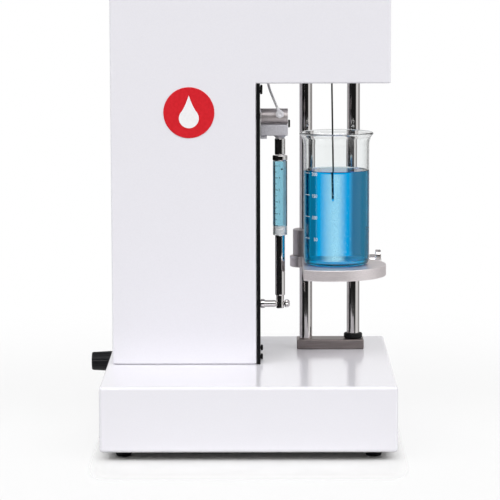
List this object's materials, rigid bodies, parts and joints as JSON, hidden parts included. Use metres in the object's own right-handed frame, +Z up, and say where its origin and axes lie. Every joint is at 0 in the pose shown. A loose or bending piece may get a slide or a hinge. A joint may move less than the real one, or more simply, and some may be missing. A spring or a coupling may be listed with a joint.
{
  "type": "motor-driven syringe burette",
  "caption": "White bench burette with a motor-driven glass syringe, a rotary valve, a dipping capillary and a beaker on a column-guided lifting platform.",
  "frame": {"origin": "under the middle of the whole object's box, on the surface that the feet stand on", "axes": "+Z up, +X to the object's right seen from its front, +Y to its back; the front faces -Y"},
  "size_m": [0.2804, 0.282, 0.447],
  "materials": {
    "white_lacquer": "glossy white lacquer on sheet metal",
    "black_plastic": "black moulded plastic",
    "black_metal": "black anodised, satin",
    "rubber": "matt black rubber",
    "supply_cage": "plain metal cage",
    "steel": "plain turned steel",
    "polished_steel": "ground and polished",
    "satin_aluminium": "satin, fine blasted",
    "brass": "turned",
    "white_polymer": "white fluoropolymer",
    "ceramic": "lapped",
    "circuit_board": "green solder mask",
    "clear_glass": "clear borosilicate glass",
    "clear_tube": "clear fluoropolymer tube",
    "blue_liquid": "clear blue liquid"
  },
  "bodies": {
    "root": {"base_housing": "white_lacquer", "tower_housing": "white_lacquer", "rear_cover": "white_lacquer", "mains_inlet": "black_plastic", "switch_frame": "black_plastic", "drive_motor": "black_plastic", "valve_motor": "black_plastic", "side_plate": "black_metal", "side_screw_lower_front": "black_metal", "side_screw_lower_rear": "black_metal", "side_screw_upper_front": "black_metal", "side_screw_upper_rear": "black_metal", "valve_clamp_screw": "black_metal", "foot_front_left": "rubber", "foot_front_right": "rubber", "foot_rear_left": "rubber", "foot_rear_right": "rubber", "stop_ring": "rubber", "power_supply": "supply_cage", "base_plate": "steel", "signal_socket": "steel", "control_potentiometer": "steel", "lower_bearing": "steel", "upper_bearing": "steel", "guide_rod_front": "steel", "guide_rod_rear": "steel", "capillary": "steel", "syringe_collar": "polished_steel", "syringe_neck": "polished_steel", "column_left": "polished_steel", "column_right": "polished_steel", "drive_frame": "satin_aluminium", "valve_body": "satin_aluminium", "valve_bracket": "satin_aluminium", "sensor_block": "satin_aluminium", "column_foot": "satin_aluminium", "column_head_block": "satin_aluminium", "tube_fitting": "white_polymer", "capillary_fitting": "white_polymer", "main_board": "circuit_board", "sensor_board": "circuit_board", "syringe_barrel": "clear_glass", "sample_tube": "clear_tube"},
    "drive": {"carriage": "satin_aluminium", "drive_nut": "brass", "drive_pin": "polished_steel", "plunger_rod": "polished_steel", "plunger_seal": "white_polymer"},
    "drive_screw": {"lead_screw": "steel", "motor_coupling": "satin_aluminium"},
    "plunger_clamp": {"plunger_screw": "polished_steel"},
    "platform": {"platform": "satin_aluminium", "guide_sleeve": "satin_aluminium"},
    "platform_clamp": {"clamp_screw": "steel"},
    "beaker": {"beaker": "clear_glass", "beaker_liquid": "blue_liquid"},
    "knob": {"speed_knob": "black_plastic", "control_shaft": "steel"},
    "rocker": {"power_rocker": "black_plastic"},
    "valve": {"valve_rotor": "ceramic"}
  },
  "joints": [
    {"name": "syringe_drive", "type": "slide", "parent": "root", "child": "drive", "axis": [0, 0, 1], "range_m": [0, 0.057]},
    {"name": "lead_screw_spin", "type": "hinge", "parent": "root", "child": "drive_screw", "pos_m": [-0.00975, 0.012, 0.15], "axis": [0, 0, 1], "range_deg": [-2570, 0]},
    {"name": "plunger_screw_turn", "type": "hinge", "parent": "drive", "child": "plunger_clamp", "pos_m": [0.04525, 0.012, 0.1168], "axis": [-1, 0, 0], "range_deg": [-1080, 0]},
    {"name": "platform_lift", "type": "slide", "parent": "root", "child": "platform", "axis": [0, 0, 1], "range_m": [-0.063, 0.015]},
    {"name": "clamp_screw_turn", "type": "hinge", "parent": "platform", "child": "platform_clamp", "pos_m": [0.13025, 0.069, 0.14915], "axis": [-1, 0, 0], "range_deg": [-720, 0]},
    {"name": "beaker_lift", "type": "slide", "parent": "platform", "child": "beaker", "axis": [0, 0, 1], "range_m": [0, 0.025]},
    {"name": "speed_knob_turn", "type": "hinge", "parent": "root", "child": "knob", "pos_m": [-0.12975, 0.082, 0.0513], "axis": [-1, 0, 0], "range_deg": [-150, 150]},
    {"name": "power_rocker_tilt", "type": "hinge", "parent": "root", "child": "rocker", "pos_m": [-0.03975, 0.1385, 0.037], "axis": [1, 0, 0], "range_deg": [0, 20]},
    {"name": "valve_turn", "type": "hinge", "parent": "root", "child": "valve", "pos_m": [0.03025, 0.012, 0.29], "axis": [1, 0, 0], "range_deg": [0, 90]}
  ],
  "couplings": [
    {"joint": "lead_screw_spin", "follows": "syringe_drive", "rad_per_m": -785.4}
  ]
}
